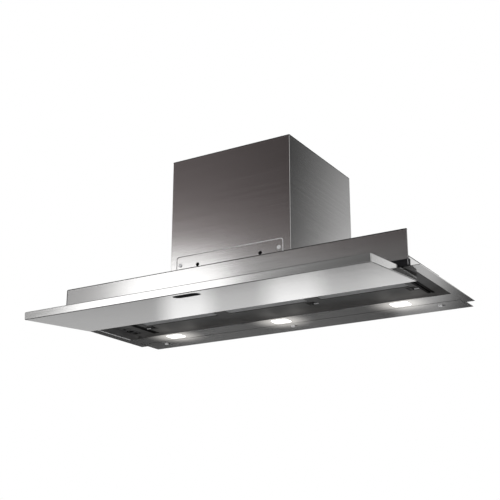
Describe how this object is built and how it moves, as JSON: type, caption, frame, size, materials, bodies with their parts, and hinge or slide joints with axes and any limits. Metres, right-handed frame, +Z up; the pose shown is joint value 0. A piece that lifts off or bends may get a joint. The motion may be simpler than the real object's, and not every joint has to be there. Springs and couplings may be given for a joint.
{
  "type": "cabinet range hood with pull-out visor",
  "caption": "Built-in kitchen hood with a brushed steel blower box, an upright fascia and a tilted visor that slides out to uncover grease filters and lamps.",
  "frame": {"origin": "middle of the four cabinet screw holes in the side lips, on the underside plane of the cabinet flange", "axes": "+X to the right seen from the front, +Y from the front to the wall, +Z up"},
  "size_m": [0.898, 0.5143, 0.4176],
  "materials": {
    "brushed_steel": "brushed along the length",
    "galvanised_sheet": "galvanised",
    "zinc_fasteners": "zinc plated",
    "dark_rail": "dark anodised",
    "black_plastic": "fine texture",
    "control_plastic": "satin black",
    "blower_plastic": "moulded",
    "motor_can": "drawn",
    "lamp_lens": "frosted",
    "filter_aluminium": "expanded mesh in a folded frame",
    "latch_steel": "polished",
    "roller_nylon": "moulded"
  },
  "bodies": {
    "housing": {"access_cover": "brushed_steel", "access_cover_screws": "zinc_fasteners", "base_frame": "brushed_steel", "box_back": "brushed_steel", "box_top": "brushed_steel", "box_wrap": "brushed_steel", "cable_gland": "black_plastic", "capacitor": "motor_can", "control_bezel": "black_plastic", "damper_pins": "zinc_fasteners", "electronics_box": "black_plastic", "fascia": "brushed_steel", "fascia_brackets": "galvanised_sheet", "fascia_rail": "dark_rail", "filter_frame_left": "filter_aluminium", "filter_frame_middle": "filter_aluminium", "filter_frame_right": "filter_aluminium", "filter_mesh_left": "filter_aluminium", "filter_mesh_middle": "filter_aluminium", "filter_mesh_right": "filter_aluminium", "lamp_driver": "black_plastic", "lamp_housings": "black_plastic", "lamp_lens_left": "lamp_lens", "lamp_lens_middle": "lamp_lens", "lamp_lens_right": "lamp_lens", "motor": "motor_can", "motor_spider": "galvanised_sheet", "outlet_collar": "black_plastic", "plenum": "galvanised_sheet", "plenum_lid": "galvanised_sheet", "rear_strip": "brushed_steel", "rear_strip_screws": "zinc_fasteners", "rear_tray": "galvanised_sheet", "recess_deck": "galvanised_sheet", "scroll_cheek_left": "blower_plastic", "scroll_cheek_right": "blower_plastic", "scroll_wrap": "blower_plastic", "slide_rail_left": "dark_rail", "slide_rail_right": "dark_rail", "switch_block": "black_plastic"},
    "visor": {"visor_tray": "brushed_steel", "visor_lid": "brushed_steel", "finger_cup": "black_plastic", "visor_arm_left": "dark_rail", "visor_arm_right": "dark_rail"},
    "rotor": {"impeller": "blower_plastic", "motor_shaft": "zinc_fasteners"},
    "flap_front": {"damper_flap_front": "black_plastic"},
    "flap_rear": {"damper_flap_rear": "black_plastic"},
    "knob": {"speed_knob": "control_plastic"},
    "light_button": {"button_light": "control_plastic"},
    "boost_button": {"button_boost": "control_plastic"},
    "latch_left": {"filter_latch_left": "latch_steel"},
    "latch_middle": {"filter_latch_middle": "latch_steel"},
    "latch_right": {"filter_latch_right": "latch_steel"},
    "roller_left_front": {"roller_left_front": "roller_nylon"},
    "roller_left_rear": {"roller_left_rear": "roller_nylon"},
    "roller_right_front": {"roller_right_front": "roller_nylon"},
    "roller_right_rear": {"roller_right_rear": "roller_nylon"}
  },
  "joints": [
    {"name": "visor_slide", "type": "slide", "parent": "housing", "child": "visor", "axis": [0, 0.9966, 0.0821], "range_m": [0, 0.147]},
    {"name": "impeller_spin", "type": "hinge", "parent": "housing", "child": "rotor", "pos_m": [0, -0.019, 0.186], "axis": [1, 0, 0], "continuous": true},
    {"name": "front_flap_hinge", "type": "hinge", "parent": "housing", "child": "flap_front", "pos_m": [0, 0.014, 0.359], "axis": [-1, 0, 0], "range_deg": [0, 75]},
    {"name": "rear_flap_hinge", "type": "hinge", "parent": "housing", "child": "flap_rear", "pos_m": [0, 0.024, 0.359], "axis": [1, 0, 0], "range_deg": [0, 75]},
    {"name": "knob_turn", "type": "hinge", "parent": "housing", "child": "knob", "pos_m": [-0.412, 0.058, 0.018], "axis": [0, 0, -1], "range_deg": [0, 270]},
    {"name": "light_press", "type": "slide", "parent": "housing", "child": "light_button", "axis": [0, 0, 1], "range_m": [0, 0.0015], "stiffness_N_per_m": 400, "springref_m": -0.001},
    {"name": "boost_press", "type": "slide", "parent": "housing", "child": "boost_button", "axis": [0, 0, 1], "range_m": [0, 0.0015], "stiffness_N_per_m": 400, "springref_m": -0.001},
    {"name": "latch_left_pull", "type": "slide", "parent": "housing", "child": "latch_left", "axis": [1, 0, 0], "range_m": [0, 0.005], "stiffness_N_per_m": 300, "springref_m": -0.002},
    {"name": "latch_middle_pull", "type": "slide", "parent": "housing", "child": "latch_middle", "axis": [-1, 0, 0], "range_m": [0, 0.005], "stiffness_N_per_m": 300, "springref_m": -0.002},
    {"name": "latch_right_pull", "type": "slide", "parent": "housing", "child": "latch_right", "axis": [-1, 0, 0], "range_m": [0, 0.005], "stiffness_N_per_m": 300, "springref_m": -0.002},
    {"name": "roller_left_front_roll", "type": "hinge", "parent": "visor", "child": "roller_left_front", "pos_m": [-0.3776, -0.1353, 0.02893], "axis": [1, 0, 0], "continuous": true},
    {"name": "roller_left_rear_roll", "type": "hinge", "parent": "visor", "child": "roller_left_rear", "pos_m": [-0.3776, -0.03564, 0.03714], "axis": [1, 0, 0], "continuous": true},
    {"name": "roller_right_front_roll", "type": "hinge", "parent": "visor", "child": "roller_right_front", "pos_m": [0.3776, -0.1353, 0.02893], "axis": [1, 0, 0], "continuous": true},
    {"name": "roller_right_rear_roll", "type": "hinge", "parent": "visor", "child": "roller_right_rear", "pos_m": [0.3776, -0.03564, 0.03714], "axis": [1, 0, 0], "continuous": true}
  ],
  "couplings": [
    {"joint": "roller_left_front_roll", "follows": "visor_slide", "rad_per_m": -185.19},
    {"joint": "roller_left_rear_roll", "follows": "visor_slide", "rad_per_m": 185.19},
    {"joint": "roller_right_front_roll", "follows": "visor_slide", "rad_per_m": -185.19},
    {"joint": "roller_right_rear_roll", "follows": "visor_slide", "rad_per_m": 185.19}
  ]
}
